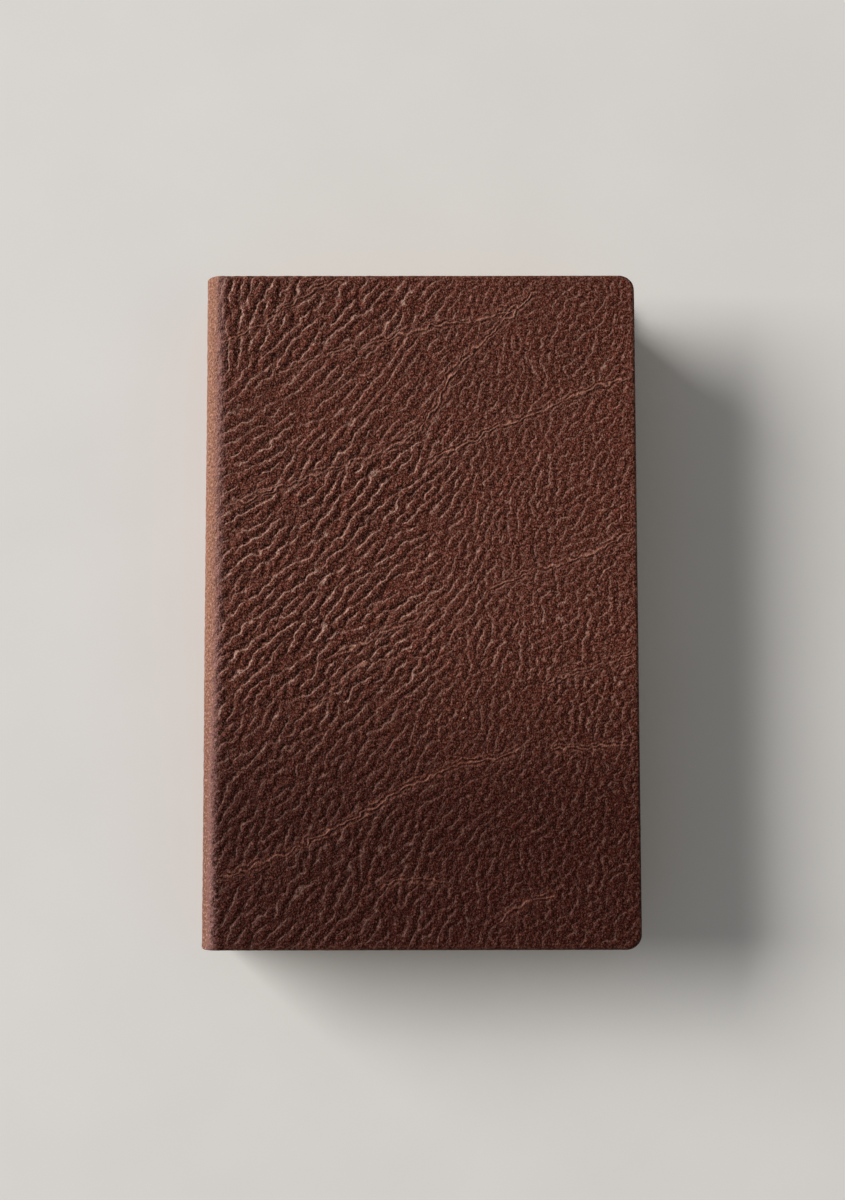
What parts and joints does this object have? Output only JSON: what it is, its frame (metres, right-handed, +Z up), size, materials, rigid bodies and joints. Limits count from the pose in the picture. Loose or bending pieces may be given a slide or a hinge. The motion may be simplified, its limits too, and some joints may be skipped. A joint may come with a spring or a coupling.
{
  "type": "antique leather book",
  "caption": "Plain leather-bound book with a smooth rounded spine, round-cornered pages and two covers that swing open.",
  "frame": {"origin": "middle of the underside of the closed book, on the surface it lies on", "axes": "+X from the spine to the fore-edge, +Y from the tail to the head, +Z up through the back cover, the pages and the front cover"},
  "size_m": [0.143, 0.221, 0.034],
  "materials": {
    "leather": "worn grained brown leather",
    "board": "grey-brown millboard",
    "card": "thin buff card",
    "endpaper": "aged plain paper",
    "pages": "aged cut page edges",
    "cord": "hemp cord",
    "cloth": "open-weave lining cloth",
    "thread": "wound silk thread"
  },
  "bodies": {
    "block": {"text_block": "pages", "front_flyleaf": "endpaper", "back_flyleaf": "endpaper", "sewing_cords": "cord", "spine_leather": "leather", "spine_inlay": "card", "hollow_tube": "card", "spine_lining": "cloth", "head_band": "thread", "tail_band": "thread"},
    "front_cover": {"front_leather": "leather", "front_board": "board", "front_infill": "card", "front_pastedown": "endpaper"},
    "back_cover": {"back_leather": "leather", "back_board": "board", "back_infill": "card", "back_pastedown": "endpaper"}
  },
  "joints": [
    {"name": "front_hinge", "type": "hinge", "parent": "block", "child": "front_cover", "pos_m": [-0.06416, 0, 0.03415], "axis": [0, -1, 0], "range_deg": [0, 180]},
    {"name": "back_hinge", "type": "hinge", "parent": "block", "child": "back_cover", "pos_m": [-0.06416, 0, -0.00015], "axis": [0, 1, 0], "range_deg": [0, 180]}
  ]
}
